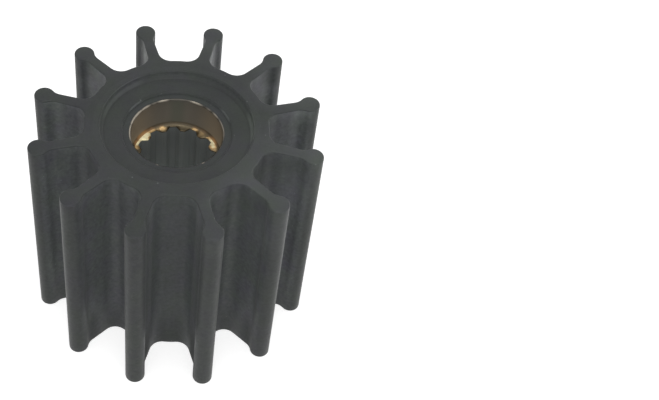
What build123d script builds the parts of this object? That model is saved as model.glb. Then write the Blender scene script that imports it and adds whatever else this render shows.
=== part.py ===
from build123d import *
from math import radians, sin, tan
import os

# Flexible pump impeller: a rubber body moulded round a splined brass insert.
# Millimetres and degrees. The axis is +Z and the underside lies on Z = 0. The shaft enters
# from below, and the counterbore is at the top, towards the pump's cover.

# Rubber body
tip_diameter = 57.2  # over the tip beads
body_length = 47.6
vane_count = 12
bead_diameter = 4.0
neck_thickness = 2.0  # web at the centre of the bead
root_thickness = 2.6  # web inside the edge of the hub
neck_blend_radius = 2.6  # hollow between web and bead
root_fillet_radius = 2.6
hub_diameter = 35.4  # floor of the pockets
edge_bevel = 0.3  # moulded edges of both end faces

# End faces of the hub, alike at both ends
recess_diameter = 29.4
recess_depth = 1.7
seat_diameter = 20.8  # shallow step round the insert
seat_depth = 0.5
skin_thickness = 0.6  # rubber over the ends of the barrel

# Brass insert, outside
barrel_diameter = 21.6
lip_diameter = 18.4  # ring that stays bare at each end
groove_diameter = 19.8  # turned groove that keeps the rubber from sliding
groove_width = 4.0
flute_count = 6  # flutes that keep the rubber from turning
flute_diameter = 2.4

# Brass insert, inside
counterbore_diameter = 17.6
counterbore_depth = 6.7
counterbore_corner = 0.5  # cone at the bottom of the counterbore
rim_chamfer = 0.25  # round the mouth of the counterbore
spline_major_diameter = 15.9
spline_minor_diameter = 13.8
tooth_count = 12
flank_angle = 30.0  # from a flank to the middle of its tooth
spline_turn = 5.4  # from a vane to the nearest tooth
mouth_chamfer = 1.0  # lead-in for the shaft

# Worked out from the sizes above
pitch_angle = 360 / vane_count
tooth_pitch_angle = 360 / tooth_count
vane_turn = pitch_angle / 2  # a pocket faces +X
tip_centre = (tip_diameter - bead_diameter) / 2
hub_radius = hub_diameter / 2
seat_level = recess_depth + seat_depth
insert_bottom = seat_level
insert_top = body_length - seat_level
counterbore_floor = insert_top - counterbore_depth
overrun = 1.0  # how far a cut runs past the face it starts from


def disc(diameter, bottom, top):
    """Cylinder on the axis between two levels."""
    return extrude(Plane.XY.offset(bottom) * Circle(diameter / 2), top - bottom)


def cone(bottom_diameter, top_diameter, bottom, top):
    """Straight-sided cone on the axis between two levels."""
    low_end = Plane.XY.offset(bottom) * Circle(bottom_diameter / 2)
    high_end = Plane.XY.offset(top) * Circle(top_diameter / 2)
    return loft([low_end, high_end])


def radius_of(edge):
    """Distance of an upright edge from the axis."""
    return edge.center().cross(Vector(0, 0, 1)).length


def vane_section():
    """Web and tip bead of a vane that points along +X, before blending."""
    web_start = hub_radius - root_thickness
    web = Polygon(
        (web_start, -root_thickness / 2),
        (tip_centre, -neck_thickness / 2),
        (tip_centre, neck_thickness / 2),
        (web_start, root_thickness / 2),
        align=None,
    )
    return web + Pos(tip_centre, 0) * Circle(bead_diameter / 2)


def vane_wheel():
    """Hub and vanes, full length, with their blends and moulded edges."""
    section = Circle(hub_radius)
    for index in range(vane_count):
        section += Rot(0, 0, vane_turn + index * pitch_angle) * vane_section()
    wheel = extrude(section, body_length)
    split_radius = (hub_radius + tip_centre) / 2
    uprights = wheel.edges().filter_by(Axis.Z)
    wheel = fillet(uprights.filter_by(lambda e: radius_of(e) < split_radius), root_fillet_radius)
    uprights = wheel.edges().filter_by(Axis.Z)
    beads_start = tip_centre - bead_diameter / 2
    necks = uprights.filter_by(lambda e: beads_start < radius_of(e) < tip_centre)
    wheel = fillet(necks, neck_blend_radius)
    ends = wheel.edges().group_by(Axis.Z)
    return chamfer(ends[0] + ends[-1], edge_bevel)


def end_recesses():
    """Stepped recess with a bevelled edge at each end of the hub, as one tool to cut with."""
    tool = disc(recess_diameter, -overrun, recess_depth)
    tool += disc(seat_diameter, -overrun, seat_level)
    tool += cone(recess_diameter + 2 * edge_bevel, recess_diameter, 0, edge_bevel)
    return tool + mirror(tool, about=Plane.XY.offset(body_length / 2))


def insert_blank():
    """Outside of the brass insert: barrel, bare lips, groove and flutes."""
    blank = disc(lip_diameter, insert_bottom, insert_top)
    barrel_bottom = insert_bottom + skin_thickness
    barrel_top = insert_top - skin_thickness
    middle = body_length / 2
    blank += disc(barrel_diameter, barrel_bottom, middle - groove_width / 2)
    blank += disc(groove_diameter, middle - groove_width / 2, middle + groove_width / 2)
    blank += disc(barrel_diameter, middle + groove_width / 2, barrel_top)
    flute = disc(flute_diameter, barrel_bottom, barrel_top)
    for index in range(flute_count):
        blank -= Rot(0, 0, index * 360 / flute_count) * Pos(barrel_diameter / 2, 0) * flute
    return blank


def spline_section():
    """Space between the teeth: the section of a matching splined shaft."""
    mean_radius = (spline_major_diameter + spline_minor_diameter) / 4
    half_width = mean_radius * sin(radians(tooth_pitch_angle / 4))
    inner = spline_minor_diameter / 2 - overrun
    outer = spline_major_diameter / 2 + overrun
    rise = tan(radians(flank_angle))
    space = Polygon(
        (inner, -half_width - (mean_radius - inner) * rise),
        (outer, -half_width + (outer - mean_radius) * rise),
        (outer, half_width - (outer - mean_radius) * rise),
        (inner, half_width + (mean_radius - inner) * rise),
        align=None,
    )
    section = Circle(spline_minor_diameter / 2)
    first_space = vane_turn + spline_turn + tooth_pitch_angle / 2
    for index in range(tooth_count):
        section += Rot(0, 0, first_space + index * tooth_pitch_angle) * space
    return section & Circle(spline_major_diameter / 2)


def shaft_passage():
    """Everything that is cut out of the insert along the axis."""
    corner_top = counterbore_floor + counterbore_corner
    corner_diameter = counterbore_diameter - 2 * counterbore_corner
    mouth_diameter = spline_major_diameter - 2 * mouth_chamfer
    passage = extrude(spline_section(), insert_top)
    passage += cone(spline_major_diameter, mouth_diameter, insert_bottom, insert_bottom + mouth_chamfer)
    passage += cone(corner_diameter, counterbore_diameter, counterbore_floor, corner_top)
    passage += disc(counterbore_diameter, corner_top, insert_top)
    rim_diameter = counterbore_diameter + 2 * rim_chamfer
    return passage + cone(counterbore_diameter, rim_diameter, insert_top - rim_chamfer, insert_top)


if __name__ == "__main__":
    blank = insert_blank()
    rubber_body = vane_wheel() - end_recesses() - blank
    brass_insert = blank - shaft_passage()
    os.makedirs("parts", exist_ok=True)
    export_step(rubber_body, "parts/rubber_body.step")
    export_step(brass_insert, "parts/brass_insert.step")
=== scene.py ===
import math

import bpy
import bmesh
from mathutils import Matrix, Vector


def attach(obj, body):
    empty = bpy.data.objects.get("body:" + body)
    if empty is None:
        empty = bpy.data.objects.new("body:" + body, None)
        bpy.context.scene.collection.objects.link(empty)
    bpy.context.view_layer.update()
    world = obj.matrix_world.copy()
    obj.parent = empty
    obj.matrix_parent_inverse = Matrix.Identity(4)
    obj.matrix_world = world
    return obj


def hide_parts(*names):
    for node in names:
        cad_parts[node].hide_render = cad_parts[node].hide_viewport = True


mm = 0.001
weldGap = 2e-6  # points closer than this become one, in metres
sharpAngle = 50  # degrees between two faces, from which their edge is shaded hard

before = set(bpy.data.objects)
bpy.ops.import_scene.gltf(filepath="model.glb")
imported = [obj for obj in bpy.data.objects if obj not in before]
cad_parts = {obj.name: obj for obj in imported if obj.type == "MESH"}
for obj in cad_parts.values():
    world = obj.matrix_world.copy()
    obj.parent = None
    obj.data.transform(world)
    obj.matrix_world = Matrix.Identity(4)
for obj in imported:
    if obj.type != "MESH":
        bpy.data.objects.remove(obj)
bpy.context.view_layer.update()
print("frame loaded:", ", ".join(sorted(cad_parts)))


class NodeSketch:
    # writes a node tree from left to right; a feed is a socket of another node or a plain value
    def __init__(self, tree):
        self.tree = tree
        self.count = 0

    def add(self, kind, feeds=None, **settings):
        node = self.tree.nodes.new(kind)
        node.location = (200 * (self.count // 5), -220 * (self.count % 5))  # columns of five
        self.count += 1
        for key, value in settings.items():
            setattr(node, key, value)
        for key, value in (feeds or {}).items():
            self.feed(node.inputs[key], value)
        return node

    def feed(self, socket, value):
        if isinstance(value, bpy.types.NodeSocket):
            self.tree.links.new(value, socket)
        else:
            socket.default_value = value

    def math(self, operation, first, second=0.0, third=0.0):
        feeds = {0: first, 1: second, 2: third}
        return self.add("ShaderNodeMath", feeds, operation=operation).outputs[0]

    def product(self, first, *others):
        for other in others:
            first = self.math("MULTIPLY", first, other)
        return first

    def absolute(self, value):
        return self.math("ABSOLUTE", value)

    def rest(self, share):
        return self.math("SUBTRACT", 1.0, share)

    def vector(self, operation, first, second=(0.0, 0.0, 0.0)):
        node = self.add("ShaderNodeVectorMath", {0: first, 1: second}, operation=operation)
        return node.outputs["Value" if operation in ("LENGTH", "DOT_PRODUCT") else "Vector"]

    def scaled(self, vector, factor):
        return self.add("ShaderNodeVectorMath", {0: vector, "Scale": factor}, operation="SCALE").outputs[0]

    def joined(self, x, y, z):
        return self.add("ShaderNodeCombineXYZ", {0: x, 1: y, 2: z}).outputs[0]

    def split(self, vector):
        return self.add("ShaderNodeSeparateXYZ", {0: vector}).outputs

    def seenDirectly(self):
        # 1 for what the camera sees, also in a gloss or through glass
        path = self.add("ShaderNodeLightPath").outputs
        bent = self.math("MAXIMUM", path["Is Glossy Ray"], path["Is Transmission Ray"])
        return self.math("MAXIMUM", path["Is Camera Ray"], bent)


class ShapeSketch(NodeSketch):
    # a Geometry Nodes tree whose sizes are named inputs
    def __init__(self, name, lengths, counts):
        super().__init__(bpy.data.node_groups.new(name, "GeometryNodeTree"))
        face = self.tree.interface
        face.new_socket("Outline", in_out="INPUT", socket_type="NodeSocketGeometry")
        for label in lengths:
            face.new_socket(label, in_out="INPUT", socket_type="NodeSocketFloat")
        for label in counts:
            face.new_socket(label, in_out="INPUT", socket_type="NodeSocketInt")
        face.new_socket("Material", in_out="INPUT", socket_type="NodeSocketMaterial")
        face.new_socket("Shape", in_out="OUTPUT", socket_type="NodeSocketGeometry")
        self.source = self.add("NodeGroupInput")
        self.position = self.add("GeometryNodeInputPosition").outputs[0]
        self.level = self.vector("MULTIPLY", self.position, (1, 1, 0))
        self.step = self.vector("NORMALIZE", self.level)  # from the axis to the point, one unit long

    def size(self, label):
        return self.source.outputs[label]

    def closedLoop(self, count, turn):
        # sets the outline round the axis, count times, and welds it to one closed loop
        angle = self.math("DIVIDE", 2 * math.pi, count)
        index = self.add("GeometryNodeInputIndex").outputs[0]
        turned = self.joined(0.0, 0.0, self.math("MULTIPLY_ADD", index, angle, turn))
        seats = self.add("GeometryNodeMeshLine", {"Count": count, "Offset": (0, 0, 0)}, mode="OFFSET")
        copies = self.add("GeometryNodeInstanceOnPoints", {
            "Points": seats.outputs[0], "Instance": self.size("Outline"), "Rotation": turned})
        solid = self.add("GeometryNodeRealizeInstances", {"Geometry": copies.outputs[0]})
        return self.welded(solid.outputs[0])

    def welded(self, geometry):
        return self.add("GeometryNodeMergeByDistance", {"Geometry": geometry, "Distance": weldGap}).outputs[0]

    def stored(self, geometry, name, value, kind="FLOAT_VECTOR"):
        node = self.add("GeometryNodeStoreNamedAttribute", {"Geometry": geometry, "Name": name},
                        data_type=kind, domain="POINT")
        self.feed(node.inputs["Value"], value)
        return node.outputs[0]

    def named(self, name, kind="FLOAT_VECTOR"):
        return self.add("GeometryNodeInputNamedAttribute", {"Name": name}, data_type=kind).outputs[0]

    def raised(self, place, level):
        return self.vector("ADD", place, self.joined(0.0, 0.0, level))

    def ringAt(self, radius, level):
        # the point's own place on a circle round the axis
        return self.raised(self.scaled(self.step, radius), level)

    def moved(self, geometry, **feeds):
        return self.add("GeometryNodeSetPosition", {"Geometry": geometry, **feeds}).outputs[0]

    def together(self, *parts):
        join = self.add("GeometryNodeJoinGeometry")
        for part in parts:
            self.tree.links.new(part, join.inputs[0])
        return join.outputs[0]

    def grownWall(self, loop, places):
        # pulls the loop's edges out to each place in turn
        mesh, rim = self.moved(loop, Position=places[0]), True
        for place in places[1:]:
            grown = self.add("GeometryNodeExtrudeMesh", {"Mesh": mesh, "Selection": rim, "Offset Scale": 0.0},
                             mode="EDGES")
            rim = grown.outputs["Top"]
            mesh = self.moved(grown.outputs["Mesh"], Selection=rim, Position=place)
        return mesh

    def finished(self, geometry):
        # smooth all round, with the level faces kept flat
        smooth = self.add("GeometryNodeSetShadeSmooth", {"Geometry": self.welded(geometry)}, domain="FACE")
        upright = self.split(self.add("GeometryNodeInputNormal").outputs[0])[2]
        level = self.math("GREATER_THAN", self.absolute(upright), 0.9999)
        flat = self.add("GeometryNodeSetShadeSmooth", {
            "Geometry": smooth.outputs[0], "Selection": level, "Shade Smooth": False}, domain="FACE")
        real = self.add("GeometryNodeRealizeInstances", {"Geometry": flat.outputs[0]})
        painted = self.add("GeometryNodeSetMaterial", {
            "Geometry": real.outputs[0], "Material": self.size("Material")})
        self.add("NodeGroupOutput", {"Shape": painted.outputs[0]})


class FinishSketch(NodeSketch):
    # a material of the object's own places; a span is a pair of lengths in millimetres
    def __init__(self, name):
        self.material = bpy.data.materials.new(name)
        self.material.use_nodes = True
        super().__init__(self.material.node_tree)
        self.surface = self.tree.nodes["Principled BSDF"]
        self.place = self.add("ShaderNodeTexCoord").outputs["Object"]
        self.x, self.y, self.height = self.split(self.place)
        self.level = self.vector("MULTIPLY", self.place, (1, 1, 0))
        self.reach = self.vector("LENGTH", self.level)  # from the axis
        self.normal = self.add("ShaderNodeNewGeometry").outputs["Normal"]

    def mixed(self, share, first, second):
        mix = self.add("ShaderNodeMix", data_type="RGBA")
        for index, value in ((0, share), (6, first), (7, second)):
            self.feed(mix.inputs[index], (*value, 1) if isinstance(value, tuple) else value)
        return mix.outputs[2]

    def ramp(self, value, low, high, start=0.0, end=1.0, curve="SMOOTHSTEP"):
        feeds = {0: value, 1: low, 2: high, 3: start, 4: end}
        return self.add("ShaderNodeMapRange", feeds, interpolation_type=curve).outputs[0]

    def across(self, value, span, start=0.0, end=1.0):
        return self.ramp(value, span[0] * mm, span[1] * mm, start, end)

    def away(self, spot, place=None):
        # distance from a spot in millimetres
        gap = self.vector("SUBTRACT", place or self.place, tuple(c * mm for c in spot))
        return self.vector("LENGTH", gap)

    def near(self, away, size, core, inside, outside=0.0):
        # one value within the core of a spot, another from its size on
        return self.across(away, (size * core, size), inside, outside)

    def bumped(self, height, strength, depth, **feeds):
        feeds = {"Strength": strength, "Distance": depth * mm, "Height": height, **feeds}
        return self.add("ShaderNodeBump", feeds).outputs[0]

    def paint(self, feeds):
        for label, value in feeds.items():
            self.feed(self.surface.inputs[label], value)


def bakedPiece(name, outline, sketch, values):
    # runs the tree on the outline and keeps the result as a plain mesh
    mesh = bpy.data.meshes.new(name + "Outline")
    mesh.from_pydata([(x, y, 0.0) for x, y in outline], [(i, i + 1) for i in range(len(outline) - 1)], [])
    piece = bpy.data.objects.new(name, mesh)
    bpy.context.scene.collection.objects.link(piece)
    modifier = piece.modifiers.new(name, "NODES")
    modifier.node_group = sketch.tree
    for item in sketch.tree.interface.items_tree:
        if item.in_out == "INPUT" and item.name in values:
            modifier[item.identifier] = values[item.name]
    graph = bpy.context.evaluated_depsgraph_get()
    baked = bpy.data.meshes.new_from_object(
        piece.evaluated_get(graph), preserve_all_data_layers=True, depsgraph=graph)
    piece.modifiers.clear()
    piece.data = baked
    bpy.data.meshes.remove(mesh)
    shell = bmesh.new()
    shell.from_mesh(baked)
    bmesh.ops.dissolve_degenerate(shell, dist=1e-7, edges=shell.edges)
    bmesh.ops.recalc_face_normals(shell, faces=shell.faces)
    loose = sum(1 for edge in shell.edges if not edge.is_manifold)
    volume = shell.calc_volume()
    shell.to_mesh(baked)
    shell.free()
    baked.set_sharp_from_angle(angle=math.radians(sharpAngle))
    print(f"{name}: {len(baked.polygons)} faces, {loose} open edges, {volume * 1e9:.0f} mm3")
    return piece


rubberFinish = {
    # colours
    "tipShade": (0.0418, 0.0456, 0.0435),  # tip beads, darkened: painted shade
    "plain": (0.0450, 0.0488, 0.0482),
    "pocketPaintedLight": (0.067, 0.0725, 0.0730),  # painted light in the pockets, against the shade there
    "sidePocketPaintedLight": (0.101, 0.108, 0.110),  # stronger painted light, on two sides of the wheel
    "paintedLightSideSpan": (3.0, 17.0),  # off the middle plane, in millimetres as every span
    # where the painted light lies, out from the axis
    "hubReach": 16.0,
    "neckSpan": (18.0, 23.0),  # its gain at the hub and towards the tips
    "neckPaintedLightGain": (0.97, 1.06),
    "webReach": 20.5,  # flat part of the vanes, half-way out
    "webSpan": (0.4, 1.9),
    "webPaintedLightGain": 0.12,
    "pocketSpan": (25.9, 27.5),  # it fades out here
    "tipSpan": (27.0, 28.0),  # and the painted shade of the bead begins
    "edgeDepth": 0.35,  # rounded edge at both ends, left without the painted light
    # up and down: less painted light towards the ends
    "paintedLightAtHead": 0.88,
    "headReach": 8.0,
    "paintedLightAtFoot": 0.6,
    "footReach": 13.0,
    # painted shade at the foot of the vanes, where less painted light is kept; the first of a pair near the
    # middle plane and the second far from it
    "footSpan": (5.0, 24.0),
    "footKept": (0.42, 0.95),
    "footBend": (8.0, 14.0),
    "footLimit": (18.6, 21.0),  # bare from this reach on
    "footFade": 3.0,
    "footLevels": (5.0, 14.0),
    "footRoughness": 0.6,  # added there
    # hub recess; turns are sizes of the normal's height, 0 on upright faces and 1 on level ones
    "wallTurn": (0.1, 0.93),
    "wallGain": (0.62, -0.25),  # painted light on upright walls and painted shade on the fillet at their foot
    "wallEnd": (0.94, 0.995),
    "floorSpan": (12.2, 13.4),  # outer ring of its floor, towards +Y, painted lighter against the shade there
    "floorBack": (-8.0, 0.0),
    "floorGain": 0.07,
    # rubbed edges, with a painted highlight on them
    "edgeTurn": (0.2, 0.98),
    "edgeGain": 0.18,
    "slantTurn": (0.1, 0.5),
    "slantEnd": (0.8, 0.99),
    # unevenness of the tone
    "tint": 0.26,  # how far patches drift to olive and to violet
    "tintSize": 5.4,
    "mottle": 0.40,
    "patchSize": 9.0,
    "speckle": 0.40,  # fine grain
    "grainSize": 0.45,
    "faceTurn": (0.1, 0.6),  # from upright faces to the others
    "grit": (0.8, 0.15),  # coarser grit, on the one and the other
    "gritSize": 0.8,
    "dust": 1.3,  # pale specks
    "dustOn": (0.35, 1.0),
    "dustSpacing": 2.4,
    "dustSize": 0.22,
    "dustCore": 0.5,
    "dustMissing": 0.5,  # share of the places without a speck
    # gloss
    "roughness": (0.40, 0.52),
    "roughnessGrain": (0.3, 0.7),
    "specLevel": 0.17,
    "sheen": 0.10,
    "sheenRoughness": 0.35,
    "fineBump": (0.25, 0.05),  # strength, and depth in millimetres
    "broadBump": (0.3, 0.3),
    # single spots, each full in its core
    "spotCore": 0.4,
    "paintedLightPlaces": [  # painted light against shade: x, y, reach in millimetres and gain, at all levels
        (24.0, -8.2, 5.5, 0.14),
        (-24.0, -8.2, 5.5, 0.14),
        (5.2, -18.9, 3.9, 0.42),
        (-5.2, -18.9, 3.9, 0.42),
        (7.6, -16.6, 3.4, 0.2),
        (-7.6, -16.6, 3.4, 0.2),
        (19.3, -6.4, 2.8, 0.16),
        (-19.3, -6.4, 2.8, 0.20),
        (23.6, 5.4, 2.3, 0.22),
        (-23.6, 5.4, 2.3, 0.18),
    ],
    "paintedLightAndShadeSpots": [  # painted light and highlights where the gain is above 0, painted shade below: x, y, z, reach in millimetres and gain
        (20.0, -12.0, 49.0, 18.0, -0.40),
        (21.0, -6.0, 49.0, 8.0, -0.12),
        (-20.0, -12.0, 49.0, 14.0, -0.16),
        (-20.0, -6.5, 49.0, 8.0, -0.12),
        (22.5, 6.0, 36.0, 10.0, 0.25),
        (-22.5, 6.0, 35.0, 10.0, 0.20),
        (14.0, 20.0, 43.0, 9.0, 0.20),
        (-14.0, 20.0, 44.0, 9.0, 0.22),
        (-6.8, 21.1, 44.3, 2.4, 0.55),
        (6.6, 20.3, 45.9, 2.0, 0.7),
        (19.6, 16.8, 46.0, 5.0, -0.55),
        (-19.6, 16.8, 46.0, 5.0, -0.45),
        (-21.0, 8.0, 47.0, 5.0, -0.14),
        (21.0, 9.0, 47.0, 5.0, -0.10),
    ],
    "paintedLightAndShadePatches": [  # painted light and painted shade, the same columns, on all of the rubber
        (24.0, -14.0, 47.6, 20.0, 0.45),
        (10.5, -17.0, 47.6, 7.0, 0.20),
        (22.0, 13.0, 47.6, 11.0, 0.34),
        (27.5, -7.0, 47.6, 4.0, 0.20),
        (23.5, -6.3, 47.6, 4.0, 0.08),
        (27.0, 7.0, 47.6, 5.5, 0.20),
        (19.0, 18.0, 47.6, 7.0, 0.12),
        (-18.0, 17.0, 47.6, 9.0, 0.16),
        (5.0, 20.5, 47.6, 5.0, 0.12),
        (-12.5, -16.0, 47.6, 8.0, 0.12),
        (7.5, -24.0, 47.6, 9.0, 0.28),
        (0.0, -17.0, 47.6, 9.0, 0.08),
        (0.0, -12.0, 45.9, 4.5, -0.08),
        (-6.0, -10.5, 45.9, 4.5, -0.06),
        (6.0, -10.5, 45.9, 4.5, -0.06),
        (6.9, 25.7, 47.6, 8.0, 0.30),
        (-6.9, 25.7, 47.6, 8.0, 0.16),
    ],
    "paintedEdgeHighlights": [  # painted highlights, the same columns, on slanted faces
        (-9.9, 11.0, 47.0, 4.5, 0.5),
        (-13.2, 6.0, 46.4, 4.5, 0.5),
        (-8.2, 6.4, 45.6, 2.4, 1.0),
        (9.3, 4.6, 45.6, 2.4, 0.9),
        (14.6, 1.0, 47.0, 5.0, 0.8),
        (11.6, -9.2, 47.5, 5.0, 0.45),
    ],
}


def makeRubber(finish):
    sketch = FinishSketch("mouldedRubber")
    reach, height, length = sketch.reach, sketch.height, wheel["length"]
    aside = sketch.absolute(sketch.x)

    def noise(size, detail):
        feeds = {"Vector": sketch.place, "Scale": 1 / (size * mm), "Detail": detail, "Roughness": 0.6}
        return sketch.add("ShaderNodeTexNoise", feeds).outputs["Fac"]

    def offMiddle(value):
        return sketch.math("SUBTRACT", value, 0.5)

    # painted light in the pockets, painted shade on the beads
    depth = sketch.math("MINIMUM", height, sketch.math("SUBTRACT", length * mm, height))
    beyondHub = sketch.math("GREATER_THAN", reach, finish["hubReach"] * mm)
    outside = sketch.product(sketch.math("GREATER_THAN", depth, finish["edgeDepth"] * mm), beyondHub)
    inPocket = sketch.across(reach, finish["pocketSpan"], 1.0, 0.0)
    onTip = sketch.across(reach, finish["tipSpan"])
    paintedLightColour = sketch.mixed(sketch.across(aside, finish["paintedLightSideSpan"]), finish["pocketPaintedLight"], finish["sidePocketPaintedLight"])
    filmAndPaintedLight = sketch.across(reach, finish["neckSpan"], *finish["neckPaintedLightGain"])
    offWeb = sketch.absolute(sketch.math("SUBTRACT", reach, finish["webReach"] * mm))
    filmAndPaintedLight = sketch.math("ADD", filmAndPaintedLight, sketch.across(offWeb, finish["webSpan"], finish["webPaintedLightGain"], 0.0))
    atFoot = sketch.across(height, (0.0, finish["footReach"]), finish["paintedLightAtFoot"])
    atHead = sketch.across(height, (length - finish["headReach"], length), 1.0, finish["paintedLightAtHead"])
    # painted shade at the foot of the vanes
    footShade = sketch.across(aside, finish["footSpan"], *(1.0 - kept for kept in finish["footKept"]))
    limit = sketch.across(aside, finish["footBend"], *(limit * mm for limit in finish["footLimit"]))
    outward = sketch.across(sketch.math("SUBTRACT", reach, limit), (0.0, finish["footFade"]))
    footShade = sketch.product(footShade, inPocket, outward, sketch.across(height, finish["footLevels"], 1.0, 0.0))
    filmAndPaintedLight = sketch.product(filmAndPaintedLight, atFoot, atHead, sketch.rest(footShade))
    # painted light in the necks and pockets, at all levels
    for x, y, size, more in finish["paintedLightPlaces"]:
        away = sketch.away((x, y, 0.0), sketch.level)
        filmAndPaintedLight = sketch.math("ADD", filmAndPaintedLight, sketch.near(away, size, finish["spotCore"], more))
    # painted light, painted highlights and painted shade at single spots
    for *spot, size, more in finish["paintedLightAndShadeSpots"]:
        filmAndPaintedLight = sketch.math("ADD", filmAndPaintedLight, sketch.near(sketch.away(spot), size, finish["spotCore"], more))
    # painted light in the pockets: a paler colour against their shade
    colour = sketch.mixed(sketch.product(outside, inPocket), finish["plain"], sketch.scaled(paintedLightColour, filmAndPaintedLight))
    # painted shade on the bead tips
    colour = sketch.mixed(sketch.product(outside, onTip), colour, finish["tipShade"])

    # patches of two tints
    drift = sketch.product(offMiddle(noise(finish["tintSize"], 3.0)), finish["tint"])
    tint = sketch.joined(1.0, sketch.math("ADD", drift, 1.0), sketch.rest(drift))
    colour = sketch.vector("MULTIPLY", colour, tint)

    # uneven film, grain, grit and dust
    patches = noise(finish["patchSize"], 4.0)
    grain = noise(finish["grainSize"], 3.0)
    turn = sketch.absolute(sketch.split(sketch.normal)[2])
    gain = sketch.math("MULTIPLY_ADD", offMiddle(patches), finish["mottle"], 1.0)
    gain = sketch.math("MULTIPLY_ADD", offMiddle(grain), finish["speckle"], gain)
    grit = sketch.ramp(turn, *finish["faceTurn"], *finish["grit"])
    gain = sketch.math("MULTIPLY_ADD", offMiddle(noise(finish["gritSize"], 2.0)), grit, gain)
    spacing = finish["dustSpacing"]
    cells = sketch.add("ShaderNodeTexVoronoi", {"Vector": sketch.place, "Scale": 1 / (spacing * mm)}).outputs
    speck = finish["dustSize"] / spacing
    dust = sketch.ramp(cells["Distance"], speck * finish["dustCore"], speck, finish["dust"], 0.0)
    present = sketch.math("GREATER_THAN", sketch.split(cells["Color"])[0], finish["dustMissing"])
    dust = sketch.product(dust, present)
    gain = sketch.math("MULTIPLY_ADD", dust, sketch.ramp(turn, *finish["faceTurn"], *finish["dustOn"]), gain)

    # walls and floor of the recess with painted light and shade, rubbed edges with a painted highlight, and
    # painted light and shade patches
    onWall = sketch.ramp(turn, *finish["wallTurn"], *finish["wallGain"], curve="LINEAR")
    onWall = sketch.product(onWall, sketch.ramp(turn, *finish["wallEnd"], 1.0, 0.0))
    onFloor = sketch.across(reach, finish["floorSpan"], 0.0, finish["floorGain"])
    onFloor = sketch.product(onFloor, sketch.across(sketch.y, finish["floorBack"]))
    gain = sketch.math("MULTIPLY_ADD", sketch.rest(beyondHub), sketch.math("ADD", onWall, onFloor), gain)
    # paler rounded edges: wear and a painted highlight
    leaning = sketch.ramp(turn, *finish["edgeTurn"], 1.0, 0.0)
    onEdge = sketch.product(leaning, sketch.math("SUBTRACT", beyondHub, outside))
    gain = sketch.math("MULTIPLY_ADD", onEdge, finish["edgeGain"], gain)
    slanted = sketch.product(sketch.ramp(turn, *finish["slantTurn"]),
                             sketch.ramp(turn, *finish["slantEnd"], 1.0, 0.0))
    # painted light and shade patches, and painted highlights on slanted edges
    for places, share in (("paintedLightAndShadePatches", 1.0), ("paintedEdgeHighlights", slanted)):
        for *spot, size, more in finish[places]:
            near = sketch.near(sketch.away(spot), size, finish["spotCore"], more)
            gain = sketch.math("MULTIPLY_ADD", near, share, gain)

    rough = sketch.ramp(grain, *finish["roughnessGrain"], *finish["roughness"])
    fine = sketch.bumped(grain, *finish["fineBump"])
    sketch.paint({
        "Base Color": sketch.scaled(colour, gain),
        "Roughness": sketch.math("MULTIPLY_ADD", footShade, finish["footRoughness"], rough),
        "Specular IOR Level": finish["specLevel"],
        "Sheen Weight": finish["sheen"],
        "Sheen Roughness": finish["sheenRoughness"],
        "Normal": sketch.bumped(patches, *finish["broadBump"], Normal=fine),
    })
    return sketch.material


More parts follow.
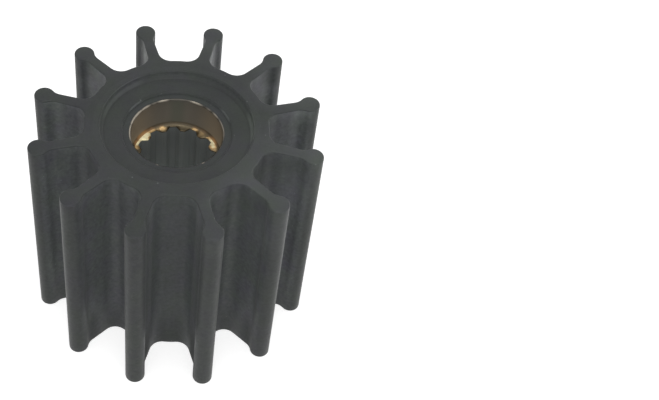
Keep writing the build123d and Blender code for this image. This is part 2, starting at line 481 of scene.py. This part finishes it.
brassFinish = {
    # colours
    "clean": (0.80, 0.60, 0.31),  # ends of the insert
    "dulled": (0.088, 0.072, 0.046),  # most of the ledge
    "glintFringe": (0.62, 0.42, 0.20),  # fringe of the painted glints
    "glintFringeAt": 0.6,  # glint strength of that fringe
    # colour of the painted glints
    "paintedGlint": (1.0, 0.90, 0.57),
    "browned": (0.138, 0.124, 0.101),  # wall of the counterbore
    "wallBackShade": (0.112, 0.111, 0.088),  # painted shade at the back of it
    # painted reflection on the sides of the counterbore wall
    "wallSideReflection": (0.240, 0.195, 0.138),
    "wallGain": (1.45, 0.74),  # at its foot and at its head
    "corner": (0.125, 0.103, 0.070),
    # painted reflection of the glints in the corner
    "cornerGlintReflection": (0.45, 0.25, 0.11),
    "rimDull": (0.054, 0.050, 0.043),
    # painted glints on the rim
    "rimGlint": (0.42, 0.375, 0.31),
    "greased": (0.165, 0.178, 0.174),  # spline, near the ledge
    # deep in the bore, painted paler against the shade there
    "boreGreyPaintedLight": (0.31, 0.335, 0.325),
    "flankPaintedLight": 0.19,  # painted light on the flanks of the teeth, against their shade
    "flankTurn": (0.6, 0.97),  # share of the normal that points to or from the axis
    "filmAndPaintedLight": (0.060, 0.063, 0.062),  # rubber film on the flat of the lip
    "filmUnderGlint": (0.3, 0.8),  # glint strength over which the film gives way
    # spans in millimetres, the first ones off the middle planes
    "sideSpan": (3.0, 8.6),
    "backShadeSpan": (0.4, 2.2),
    "backShadeStart": (-1.0, 1.0),
    "cleanEnd": (20.0, 21.0),  # levels from the lower end
    "boreStart": (3.0, 3.5),
    "paintedLightDepthSpan": (-13.0, -1.0),  # levels from the ledge
    "greaseEnd": (-0.3, -0.08),
    "cornerStart": (0.02, 0.1),
    "wallStart": (-0.1, 0.3),  # from the top of the corner
    "rimStart": (-0.05, 0.0),  # from the rim
    "lipStart": (0.0, 0.1),
    # gloss
    "specLevel": 0.1,
    "glintMetalSpan": (0.5, 1.0),
    "glintMetallic": 0.35,
    "wallMetal": 0.5,
    "roughness": 0.28,
    "roughnessSpread": 0.1,
    "wallRoughness": 0.50,
    "boreRoughness": 0.60,
    "turning": (300.0, 300.0, 9000.0),  # turning marks to the metre along each axis
    "turningBump": (0.2, 0.02),  # strength, and depth in millimetres
    # painted glints, with ragged edges
    "cloudScale": 900.0,
    "ragged": 0.8,
    "fringe": 0.7,
    "glintCore": 0.5,
    "glintCutCore": 0.3,
    "paintedGlintPlaces": [  # painted glints: degrees, reach from the axis, level, size in millimetres and strength
        (143, 7.9, 38.7, 2.5, 1.0),
        (157, 7.9, 38.7, 1.3, 1.0),
        (133, 7.95, 38.7, 0.7, 1.0),
        (127, 7.9, 38.7, 1.2, 0.58),
        (165, 7.9, 38.7, 0.6, 0.60),
        (119, 7.9, 38.7, 0.8, 0.22),
        (111, 7.8, 38.7, 0.8, 0.66),
        (63, 7.9, 38.7, 0.8, 0.92),
        (51, 7.9, 38.7, 1.3, 0.22),
        (30, 7.9, 38.7, 1.6, 1.0),
        (35, 8.1, 38.7, 0.6, 0.95),
        (22, 7.8, 38.7, 0.9, 0.95),
        (15, 7.9, 38.7, 0.5, 0.40),
        (182, 9.0, 45.3, 3.2, 0.65),
        (155, 9.0, 45.3, 3.2, 0.75),
        (134, 9.0, 45.3, 1.5, 0.65),
        (109, 9.0, 45.3, 1.2, 0.55),
        (66, 9.0, 45.3, 1.5, 0.50),
        (34, 9.0, 45.3, 1.2, 0.45),
        (47, 9.0, 45.3, 0.8, 0.25),
        (121, 9.0, 45.3, 0.8, 0.20),
        (335, 9.0, 45.3, 2.5, 0.16),
        (8, 9.0, 45.3, 3.4, 0.45),
        (247, 9.0, 45.3, 0.5, 1.0),
        (304, 9.0, 45.3, 0.5, 1.0),
    ],
    "glintCutPlaces": [  # painted glints cut back here
        (137.5, 6.85, 38.7, 0.75, 0.85),
    ],
}


def aroundAxis(degrees, radius, level):
    return radius * math.cos(math.radians(degrees)), radius * math.sin(math.radians(degrees)), level


def makeBrass(finish):
    sketch = FinishSketch("machinedBrass")
    top = wheel["length"] - wheel["recessDepth"] - wheel["seatDepth"]
    ledge, rim = top - insert["counterboreDepth"], top - insert["rimChamfer"]
    cornerTop = ledge + insert["counterboreCorner"]
    lipReach = insert["counterboreDiameter"] / 2 + insert["rimChamfer"]
    aside = sketch.absolute(sketch.x)
    cloud = sketch.add("ShaderNodeTexNoise", {
        "Vector": sketch.place, "Scale": finish["cloudScale"], "Detail": 3.0}).outputs["Fac"]

    def above(base, span, start=0.0, end=1.0):
        return sketch.across(sketch.height, (base + finish[span][0], base + finish[span][1]), start, end)

    # painted glints: places painted bright where highlights fall
    paintedGlint = 0.0
    for *spot, size, strength in finish["paintedGlintPlaces"]:
        away = sketch.math("MULTIPLY_ADD", cloud, finish["ragged"] * mm, sketch.away(aroundAxis(*spot)))
        near = sketch.across(away, (size * finish["glintCore"], size + finish["fringe"]), strength, 0.0)
        paintedGlint = sketch.math("MAXIMUM", paintedGlint, near)
    # painted glints cut back at these places
    for *spot, size, strength in finish["glintCutPlaces"]:
        away = sketch.away(aroundAxis(*spot))
        paintedGlint = sketch.product(paintedGlint, sketch.near(away, size, finish["glintCutCore"], 1.0 - strength, 1.0))

    # zones, from the bore up to the lip
    greased = sketch.product(above(0.0, "boreStart"), above(ledge, "greaseEnd", 1.0, 0.0))
    ofWall = sketch.product(above(ledge, "cornerStart"), above(rim, "rimStart", 1.0, 0.0))
    onLip = sketch.product(above(rim, "lipStart"), sketch.math("GREATER_THAN", sketch.reach, lipReach * mm))
    filmAndPaintedLight = sketch.product(onLip, sketch.ramp(paintedGlint, *finish["filmUnderGlint"], 1.0, 0.0))

    # their colours
    glintFringeAt = finish["glintFringeAt"]
    # painted glints on the ledge, with a warm fringe
    onLedge = sketch.mixed(sketch.ramp(paintedGlint, 0.0, glintFringeAt), finish["dulled"], finish["glintFringe"])
    onLedge = sketch.mixed(sketch.ramp(paintedGlint, glintFringeAt, 1.0), onLedge, finish["paintedGlint"])
    # painted reflection of the glints in the corner
    onCorner = sketch.mixed(paintedGlint, finish["corner"], finish["cornerGlintReflection"])
    # painted reflection on the sides of the wall and painted shade at its back
    onWall = sketch.mixed(sketch.across(aside, finish["sideSpan"]), finish["browned"], finish["wallSideReflection"])
    backShade = sketch.product(sketch.across(aside, finish["backShadeSpan"], 1.0, 0.0),
                            sketch.across(sketch.y, finish["backShadeStart"]))
    onWall = sketch.mixed(backShade, onWall, finish["wallBackShade"])
    onWall = sketch.scaled(onWall, sketch.ramp(
        sketch.height, cornerTop * mm, rim * mm, *finish["wallGain"], curve="LINEAR"))
    # painted glints on the rim
    onRim = sketch.mixed(paintedGlint, finish["rimDull"], finish["rimGlint"])
    # bore grey, painted paler deeper down and on the tooth flanks, against the shade there
    boreWithPaintedLight = sketch.mixed(above(ledge, "paintedLightDepthSpan"), finish["boreGreyPaintedLight"], finish["greased"])
    facing = sketch.vector("DOT_PRODUCT", sketch.vector("NORMALIZE", sketch.level), sketch.normal)
    paintedFlankLight = sketch.ramp(sketch.absolute(facing), *finish["flankTurn"], finish["flankPaintedLight"], 0.0)
    boreWithPaintedLight = sketch.scaled(boreWithPaintedLight, sketch.math("ADD", paintedFlankLight, 1.0))
    colour = sketch.mixed(above(0.0, "cleanEnd"), finish["clean"], onLedge)
    colour = sketch.mixed(greased, colour, boreWithPaintedLight)
    colour = sketch.mixed(above(ledge, "cornerStart"), colour, onCorner)
    colour = sketch.mixed(above(cornerTop, "wallStart"), colour, onWall)
    colour = sketch.mixed(above(rim, "rimStart"), colour, onRim)
    colour = sketch.mixed(filmAndPaintedLight, colour, finish["filmAndPaintedLight"])

    # metal under grease and film, less of it under the painted glints, and its turning marks
    dullMetal = sketch.math("MULTIPLY_ADD", ofWall, finish["wallMetal"] - 1.0, 1.0)
    metalAtGlint = sketch.ramp(paintedGlint, *finish["glintMetalSpan"], 1.0, finish["glintMetallic"])
    base = finish["roughness"]
    rough = sketch.math("MULTIPLY_ADD", ofWall, finish["wallRoughness"] - base, base)
    rough = sketch.math("MULTIPLY_ADD", greased, finish["boreRoughness"] - base, rough)
    turned = sketch.add("ShaderNodeTexNoise", {
        "Vector": sketch.vector("MULTIPLY", sketch.place, finish["turning"]), "Scale": 1.0, "Detail": 2.0})
    sketch.paint({
        "Base Color": colour,
        "Metallic": sketch.product(sketch.rest(greased), sketch.rest(filmAndPaintedLight), dullMetal, metalAtGlint),
        "Roughness": sketch.math("MULTIPLY_ADD", cloud, finish["roughnessSpread"], rough),
        "Specular IOR Level": finish["specLevel"],
        "Normal": sketch.bumped(turned.outputs["Fac"], *finish["turningBump"]),
    })
    return sketch.material


wheel = {  # sizes in millimetres
    "vaneCount": 12,
    "turn": 15.0,  # a pocket faces +X
    "length": 47.6,
    "tipDiameter": 57.2,
    "beadDiameter": 4.0,
    "neckThickness": 2.0,
    "rootThickness": 2.6,
    "neckBlend": 2.6,
    "rootFillet": 2.6,
    "hubDiameter": 35.4,
    "edgeRadius": 0.3,
    "recessDiameter": 29.4,
    "recessDepth": 1.7,
    "recessFillet": 1.1,
    "seatDiameter": 20.8,
    "seatDepth": 0.5,
    "seatEdge": 0.42,
    "unevenness": 0.04,
    "unevenScale": 70.0,
    "unevenSeed": 3.0,
    "beadSteps": 14,  # half of the bead, and so on round the outline
    "neckSteps": 6,
    "webSteps": 8,
    "rootSteps": 12,
    "hubSteps": 6,
    "edgeSteps": 4,
    "levels": 24,
    "roundSegments": 288,
}

insert = {  # sizes in millimetres
    "skin": 0.6,
    "lipDiameter": 18.4,
    "barrelDiameter": 21.6,
    "grooveDiameter": 19.8,
    "grooveWidth": 4.0,
    "fluteCount": 6,
    "fluteDiameter": 2.4,
    "counterboreDiameter": 17.6,
    "counterboreDepth": 6.7,
    "counterboreCorner": 0.5,
    "rimChamfer": 0.25,
    "lipEdge": 0.06,
    "majorDiameter": 15.9,
    "minorDiameter": 13.8,
    "toothCount": 12,
    "flankAngle": 30.0,
    "toothTurn": 5.4,  # from a vane to the nearest tooth
    "toothEdge": 0.12,
    "mouthChamfer": 1.0,
    "rootSteps": 4,
    "crestSteps": 5,
    "flankPoints": (0.33, 0.67),
    "cornerPoints": (0.0, 0.25, 0.5, 0.75, 1.0),
}

softEdge = ((1.0, 0.0), (0.3, 0.3), (0.0, 1.0))  # a worn corner: how far off and how far down, as shares


def between(start, end, share):
    return start[0] + (end[0] - start[0]) * share, start[1] + (end[1] - start[1]) * share


def arc(centreX, centreY, radius, start, end, steps):
    turns = [start + (end - start) * i / steps for i in range(steps + 1)]
    return [(centreX + radius * math.cos(a), centreY + radius * math.sin(a)) for a in turns]


def blendCentre(foot, along, out, radius, centreX, reach, side):
    # centre of a circle that touches the web and a round whose centre is on the vane's middle line
    startX = foot[0] + radius * out[0] - centreX
    startY = foot[1] + radius * out[1]
    half = startX * along[0] + startY * along[1]
    step = -half + side * math.sqrt(half * half - startX * startX - startY * startY + reach * reach)
    return centreX + startX + step * along[0], startY + step * along[1]


def mirrored(half):
    # whole outline of one pitch from its upper half, in metres, from the lower end to the upper one
    whole = [(x, -y) for x, y in reversed(half)][:-1] + half
    return [(x * mm, y * mm) for x, y in whole]


def vaneOutline(sizes):
    hub, bead = sizes["hubDiameter"] / 2, sizes["beadDiameter"] / 2
    tip = sizes["tipDiameter"] / 2 - bead
    webStart = hub - sizes["rootThickness"]
    lean = math.atan2((sizes["rootThickness"] - sizes["neckThickness"]) / 2, tip - webStart)
    along = (math.cos(lean), -math.sin(lean))
    out = (math.sin(lean), math.cos(lean))
    foot = (webStart, sizes["rootThickness"] / 2)
    down = -math.pi / 2 - lean
    neck, root = sizes["neckBlend"], sizes["rootFillet"]
    neckX, neckY = blendCentre(foot, along, out, neck, tip, bead + neck, -1)
    rootX, rootY = blendCentre(foot, along, out, root, 0.0, hub + root, 1)
    beadEnd = math.atan2(neckY, neckX - tip)
    hubStart = math.atan2(rootY, rootX)
    half = arc(tip, 0.0, bead, 0.0, beadEnd, sizes["beadSteps"])
    half += arc(neckX, neckY, neck, beadEnd - math.pi, down, sizes["neckSteps"])[1:]
    rootArc = arc(rootX, rootY, root, down, hubStart - math.pi, sizes["rootSteps"])
    neckEnd, webSteps = half[-1], sizes["webSteps"]
    half += [between(neckEnd, rootArc[0], i / webSteps) for i in range(1, webSteps)]
    half += rootArc
    half += arc(0.0, 0.0, hub, hubStart, math.pi / sizes["vaneCount"], sizes["hubSteps"])[1:]
    return mirrored(half)


def fluteReach(sketch):
    # how far out the flutes let the metal go in the point's direction
    x, y = sketch.split(sketch.step)[0:2]
    pitch = sketch.math("DIVIDE", 2 * math.pi, sketch.size("Flute count"))
    half = sketch.product(pitch, 0.5)
    around = sketch.math("ADD", sketch.math("ARCTAN2", y, x), half)
    angle = sketch.math("SUBTRACT", sketch.math("FLOORED_MODULO", around, pitch), half)
    barrel, flute = sketch.size("Barrel radius"), sketch.size("Flute radius")
    aside = sketch.product(barrel, sketch.math("SINE", angle))
    inside = sketch.math("SUBTRACT", sketch.product(flute, flute), sketch.product(aside, aside))
    chord = sketch.math("SQRT", sketch.math("MAXIMUM", inside, 0.0))
    cut = sketch.math("SUBTRACT", sketch.product(barrel, sketch.math("COSINE", angle)), chord)
    beside = sketch.math("LESS_THAN", inside, 0.0)  # there a metre is added, so nothing is cut
    return sketch.math("ADD", cut, beside)


def insertRings(sketch, height, fromEnd):
    # rings of the outside of the insert from its top lip down to its bottom lip
    flute = fluteReach(sketch)

    def ring(label, level):
        radius = sketch.size(label)
        if label != "Lip radius":
            radius = sketch.math("MINIMUM", radius, flute)
        return sketch.ringAt(radius, level)

    skinBottom = sketch.math("ADD", fromEnd, sketch.size("Skin"))
    skinTop = sketch.math("SUBTRACT", height, skinBottom)
    middle, halfGroove = sketch.product(height, 0.5), sketch.product(sketch.size("Groove width"), 0.5)
    grooveTop = sketch.math("ADD", middle, halfGroove)
    grooveBottom = sketch.math("SUBTRACT", middle, halfGroove)
    return [
        ring("Lip radius", skinTop),
        ring("Barrel radius", skinTop),
        ring("Barrel radius", grooveTop),
        ring("Groove radius", grooveTop),
        ring("Groove radius", grooveBottom),
        ring("Barrel radius", grooveBottom),
        ring("Barrel radius", skinBottom),
        ring("Lip radius", skinBottom),
    ]


insertLengths = ["Skin", "Groove width", "Lip radius", "Barrel radius", "Groove radius", "Flute radius"]


def insertValues(sizes):
    return {
        "Skin": sizes["skin"] * mm,
        "Groove width": sizes["grooveWidth"] * mm,
        "Lip radius": sizes["lipDiameter"] / 2 * mm,
        "Barrel radius": sizes["barrelDiameter"] / 2 * mm,
        "Groove radius": sizes["grooveDiameter"] / 2 * mm,
        "Flute radius": sizes["fluteDiameter"] / 2 * mm,
        "Flute count": sizes["fluteCount"],
    }


def wheelTree(sizes):
    lengths = ["Length", "Edge radius", "Turn", "Recess radius", "Recess depth", "Recess fillet",
               "Seat radius", "Seat depth", "Seat edge", "Unevenness"]
    counts = ["Vane count", "Round segments", "Flute count"]
    sketch = ShapeSketch("vaneWheel", lengths + insertLengths, counts)
    height, edge = sketch.size("Length"), sketch.size("Edge radius")

    # outline with its level normal
    loop = sketch.closedLoop(sketch.size("Vane count"), sketch.size("Turn"))
    curve = sketch.add("GeometryNodeMeshToCurve", {"Mesh": loop}).outputs[0]
    curve = sketch.add("GeometryNodeSetCurveNormal", {"Curve": curve}, mode="Z_UP").outputs[0]
    kept = sketch.stored(curve, "aside", sketch.add("GeometryNodeInputNormal").outputs[0])
    kept = sketch.stored(kept, "home", sketch.position)
    outline = sketch.add("GeometryNodeCurveToMesh", {"Curve": kept}).outputs[0]

    # outer wall, with a rounded edge at both ends
    home, aside = sketch.named("home"), sketch.named("aside")
    steps, levels = sizes["edgeSteps"], sizes["levels"]
    turns = [i * math.pi / 2 / steps for i in range(steps + 1)]
    rounding = [(1 - math.sin(a), 1 - math.cos(a)) for a in turns]  # inset and drop, as shares of the radius

    def place(inset, level):
        shifted = sketch.scaled(aside, sketch.product(edge, -inset))
        return sketch.raised(sketch.vector("ADD", home, shifted), level)

    span = sketch.math("SUBTRACT", height, sketch.product(edge, 2.0))
    places = [place(inset, sketch.product(edge, drop)) for inset, drop in rounding]
    places += [place(0.0, sketch.math("MULTIPLY_ADD", span, i / levels, edge)) for i in range(1, levels)]
    places += [place(inset, sketch.math("SUBTRACT", height, sketch.product(edge, drop)))
               for inset, drop in reversed(rounding)]
    wall = sketch.grownWall(outline, places)

    # slow unevenness of the moulding, always inwards
    cloud = sketch.add("ShaderNodeTexNoise", {
        "Vector": sketch.position, "W": sizes["unevenSeed"], "Scale": sizes["unevenScale"], "Detail": 1.0},
        noise_dimensions="4D").outputs["Fac"]
    shrink = sketch.product(cloud, sketch.size("Unevenness"), -1.0)
    wall = sketch.moved(wall, Offset=sketch.scaled(aside, shrink))

    # recess, seat and the bed of the insert, as pairs of radius and depth
    recess, recessDepth = sketch.size("Recess radius"), sketch.size("Recess depth")
    seat, seatEdge = sketch.size("Seat radius"), sketch.size("Seat edge")
    fillet = sketch.size("Recess fillet")
    seatDepth = sketch.math("ADD", recessDepth, sketch.size("Seat depth"))
    profile = []
    for inset, drop in rounding:
        profile.append((sketch.math("MULTIPLY_ADD", edge, inset, recess), sketch.product(edge, drop)))
    for a in turns:
        profile.append((sketch.math("MULTIPLY_ADD", fillet, math.cos(a) - 1, recess),
                        sketch.math("MULTIPLY_ADD", fillet, math.sin(a) - 1, recessDepth)))
    for off, drop in softEdge:
        profile.append((sketch.math("MULTIPLY_ADD", seatEdge, off, seat),
                        sketch.math("MULTIPLY_ADD", seatEdge, drop, recessDepth)))
    profile += [(seat, seatDepth), (sketch.size("Lip radius"), seatDepth)]
    rings = [sketch.ringAt(radius, sketch.math("SUBTRACT", height, depth)) for radius, depth in profile]
    rings += insertRings(sketch, height, seatDepth)
    rings += [sketch.ringAt(radius, depth) for radius, depth in reversed(profile)]
    circle = sketch.add("GeometryNodeMeshCircle", {"Vertices": sketch.size("Round segments"), "Radius": 0.01})
    bed = sketch.grownWall(circle.outputs[0], rings)

    # level end faces between the open edges of the two
    both = sketch.together(wall, bed)
    middle = sketch.product(height, 0.5)
    faces = sketch.add("GeometryNodeInputMeshEdgeNeighbors").outputs[0]
    single = sketch.math("COMPARE", faces, 1.0, 0.1)
    level = sketch.split(sketch.position)[2]
    ends = []
    for operation, lift in (("GREATER_THAN", height), ("LESS_THAN", 0.0)):
        chosen = sketch.product(single, sketch.math(operation, level, middle))
        rim = sketch.add("GeometryNodeMeshToCurve", {"Mesh": both, "Selection": chosen}).outputs[0]
        cap = sketch.add("GeometryNodeFillCurve", {"Curve": rim}, mode="TRIANGLES").outputs[0]
        ends.append(sketch.moved(cap, Offset=sketch.joined(0.0, 0.0, lift)))
    sketch.finished(sketch.together(both, *ends))
    return sketch


rubber = makeRubber(rubberFinish)
rubberBody = bakedPiece("moulded_rubber_body", vaneOutline(wheel), wheelTree(wheel), {
    "Length": wheel["length"] * mm,
    "Edge radius": wheel["edgeRadius"] * mm,
    "Turn": math.radians(wheel["turn"]),
    "Recess radius": wheel["recessDiameter"] / 2 * mm,
    "Recess depth": wheel["recessDepth"] * mm,
    "Recess fillet": wheel["recessFillet"] * mm,
    "Seat radius": wheel["seatDiameter"] / 2 * mm,
    "Seat depth": wheel["seatDepth"] * mm,
    "Seat edge": wheel["seatEdge"] * mm,
    "Unevenness": wheel["unevenness"] * mm,
    "Vane count": wheel["vaneCount"],
    "Round segments": wheel["roundSegments"],
    "Material": rubber,
    **insertValues(insert),
})
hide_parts("rubber_body")
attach(rubberBody, "root")


def flankPoint(radius, halfWidth, mean, rise):
    # where a flank of the space between two teeth meets the circle of this radius
    a = 1 + rise * rise
    b = -2 * rise * (halfWidth + mean * rise)
    c = (halfWidth + mean * rise) ** 2 - radius * radius
    x = (-b + math.sqrt(b * b - 4 * a * c)) / (2 * a)
    return x, halfWidth - (x - mean) * rise


def softCorner(path, index, cut, shares):
    # puts a small curve in place of the corner at path[index]
    corner = Vector(path[index])
    start = corner + (Vector(path[index - 1]) - corner).normalized() * cut
    end = corner + (Vector(path[index + 1]) - corner).normalized() * cut
    points = [start * (1 - t) ** 2 + corner * 2 * t * (1 - t) + end * t * t for t in shares]
    return path[:index] + [tuple(point) for point in points] + path[index + 1:]


def toothOutline(sizes):
    major, minor = sizes["majorDiameter"] / 2, sizes["minorDiameter"] / 2
    mean, rise = (major + minor) / 2, math.tan(math.radians(sizes["flankAngle"]))
    pitch = 2 * math.pi / sizes["toothCount"]
    halfWidth = mean * math.sin(pitch / 4)
    outer, inner = (flankPoint(radius, halfWidth, mean, rise) for radius in (major, minor))
    half = arc(0.0, 0.0, major, 0.0, math.atan2(outer[1], outer[0]), sizes["rootSteps"])
    rootCorner = len(half) - 1
    half += [between(outer, inner, share) for share in sizes["flankPoints"]]
    crestCorner = len(half)
    half += arc(0.0, 0.0, minor, math.atan2(inner[1], inner[0]), pitch / 2, sizes["crestSteps"])
    for corner in (crestCorner, rootCorner):
        half = softCorner(half, corner, sizes["toothEdge"], sizes["cornerPoints"])
    return mirrored(half)


def insertTree():
    lengths = ["Length", "End gap", "Turn", "Counterbore radius", "Counterbore depth", "Corner",
               "Rim chamfer", "Lip edge", "Tooth edge", "Major radius", "Mouth chamfer"]
    sketch = ShapeSketch("splinedInsert", lengths + insertLengths, ["Tooth count", "Flute count"])
    height, gap = sketch.size("Length"), sketch.size("End gap")
    top = sketch.math("SUBTRACT", height, gap)
    ledge = sketch.math("SUBTRACT", top, sketch.size("Counterbore depth"))
    loop = sketch.closedLoop(sketch.size("Tooth count"), sketch.size("Turn"))
    loop = sketch.stored(loop, "toothReach", sketch.vector("LENGTH", sketch.level), "FLOAT")
    tooth = sketch.named("toothReach", "FLOAT")
    edge, rim = sketch.size("Tooth edge"), sketch.size("Rim chamfer")
    lip, lipEdge = sketch.size("Lip radius"), sketch.size("Lip edge")
    bore, corner = sketch.size("Counterbore radius"), sketch.size("Corner")
    major, mouth = sketch.size("Major radius"), sketch.size("Mouth chamfer")

    # from the worn ends of the teeth down the spline, round the outside and back through the counterbore
    toothEnd = [sketch.ringAt(sketch.math("MULTIPLY_ADD", edge, off, tooth),
                              sketch.math("MULTIPLY_ADD", edge, -drop, ledge)) for off, drop in softEdge]
    intoMouth = sketch.math("MINIMUM", sketch.math("SUBTRACT", major, tooth), mouth)
    mouthReach = sketch.math("MAXIMUM", tooth, sketch.math("SUBTRACT", major, mouth))
    innerLip = sketch.math("SUBTRACT", lip, lipEdge)
    sketch.finished(sketch.grownWall(loop, [
        toothEnd[-1],
        sketch.ringAt(tooth, sketch.math("ADD", gap, intoMouth)),
        sketch.ringAt(mouthReach, sketch.math("ADD", gap, sketch.math("SUBTRACT", major, mouthReach))),
        sketch.ringAt(major, gap),
        sketch.ringAt(innerLip, gap),
        sketch.ringAt(lip, sketch.math("ADD", gap, lipEdge)),
        *reversed(insertRings(sketch, height, gap)),
        sketch.ringAt(lip, sketch.math("SUBTRACT", top, lipEdge)),
        sketch.ringAt(innerLip, top),
        sketch.ringAt(sketch.math("ADD", bore, rim), top),
        sketch.ringAt(bore, sketch.math("SUBTRACT", top, rim)),
        sketch.ringAt(bore, sketch.math("ADD", ledge, corner)),
        sketch.ringAt(sketch.math("SUBTRACT", bore, corner), ledge),
        *toothEnd,
    ]))
    return sketch


brass = makeBrass(brassFinish)
brassInsert = bakedPiece("splined_brass_insert", toothOutline(insert), insertTree(), {
    "Length": wheel["length"] * mm,
    "End gap": (wheel["recessDepth"] + wheel["seatDepth"]) * mm,
    "Turn": math.radians(wheel["turn"] + insert["toothTurn"] + 180 / insert["toothCount"]),
    "Counterbore radius": insert["counterboreDiameter"] / 2 * mm,
    "Counterbore depth": insert["counterboreDepth"] * mm,
    "Corner": insert["counterboreCorner"] * mm,
    "Rim chamfer": insert["rimChamfer"] * mm,
    "Lip edge": insert["lipEdge"] * mm,
    "Tooth edge": insert["toothEdge"] * mm,
    "Major radius": insert["majorDiameter"] / 2 * mm,
    "Mouth chamfer": insert["mouthChamfer"] * mm,
    "Tooth count": insert["toothCount"],
    "Material": brass,
    **insertValues(insert),
})
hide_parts("brass_insert")
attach(brassInsert, "root")


studio = {
    "floorColour": (0.6, 0.6, 0.6),
    "floorGlow": 0.72,
    "floorSize": 6.0,
    "worldLevel": 0.55,
    "lights": [  # place in metres, size in metres, watts
        ("frontSoftbox", (0.0, -0.685, 0.170), 0.4, 0.83),
        ("topSoftbox", (0.0, -0.181, 0.700), 0.4, 1.50),
        ("rightSoftbox", (0.685, 0.0, 0.170), 0.4, 0.32),
        ("backSoftbox", (0.484, 0.484, 0.170), 0.4, 0.55),
    ],
    "cameraPlace": (-0.001588, -0.162500, 0.218157),
    "cameraTurn": (40.648, -3.229, -0.361),  # degrees
    "lens": 67.65,
    "shift": (0.1588, -0.0156),
}


def makeFloor(settings):
    material = bpy.data.materials.new("paleFloor")
    material.use_nodes = True
    material.node_tree.nodes.clear()
    sketch = NodeSketch(material.node_tree)
    matt = sketch.add("ShaderNodeBsdfDiffuse", {"Color": (*settings["floorColour"], 1)})
    glowing = sketch.product(sketch.seenDirectly(), settings["floorGlow"])
    glow = sketch.add("ShaderNodeEmission", {"Strength": glowing})
    both = sketch.add("ShaderNodeAddShader", {0: matt.outputs[0], 1: glow.outputs[0]})
    sketch.add("ShaderNodeOutputMaterial", {"Surface": both.outputs[0]})
    mesh = bpy.data.meshes.new("floor")
    half = settings["floorSize"] / 2
    corners = [(-half, -half, 0), (half, -half, 0), (half, half, 0), (-half, half, 0)]
    mesh.from_pydata(corners, [], [(0, 1, 2, 3)])
    mesh.materials.append(material)
    floor = bpy.data.objects.new("floor", mesh)
    bpy.context.scene.collection.objects.link(floor)


def makeWorld(settings):
    world = bpy.data.worlds.new("studio")
    world.use_nodes = True
    sketch = NodeSketch(world.node_tree)
    background = world.node_tree.nodes["Background"]
    level = settings["worldLevel"]  # on the object; what the camera sees of it is white
    background.inputs["Color"].default_value = (1, 1, 1, 1)
    strength = sketch.math("MULTIPLY_ADD", sketch.seenDirectly(), 1 - level, level)
    sketch.feed(background.inputs["Strength"], strength)
    bpy.context.scene.world = world


def makeLights(settings):
    for name, place, size, power in settings["lights"]:
        lamp = bpy.data.lights.new(name, "AREA")
        lamp.size, lamp.energy = size, power
        holder = bpy.data.objects.new(name, lamp)
        holder.location = place
        aim = Vector((0, 0, wheel["length"] * mm / 2)) - Vector(place)
        holder.rotation_euler = aim.to_track_quat("-Z", "Y").to_euler()
        bpy.context.scene.collection.objects.link(holder)


def makeCamera(settings):
    lens = bpy.data.cameras.new("camera")
    lens.lens = settings["lens"]
    lens.shift_x, lens.shift_y = settings["shift"]
    lens.clip_start = 0.01
    camera = bpy.data.objects.new("camera", lens)
    camera.location = settings["cameraPlace"]
    camera.rotation_euler = [math.radians(a) for a in settings["cameraTurn"]]
    bpy.context.scene.collection.objects.link(camera)
    bpy.context.scene.camera = camera


makeFloor(studio)
makeWorld(studio)
makeLights(studio)
makeCamera(studio)
bpy.context.scene.view_settings.view_transform = "Standard"
print("stage ready")
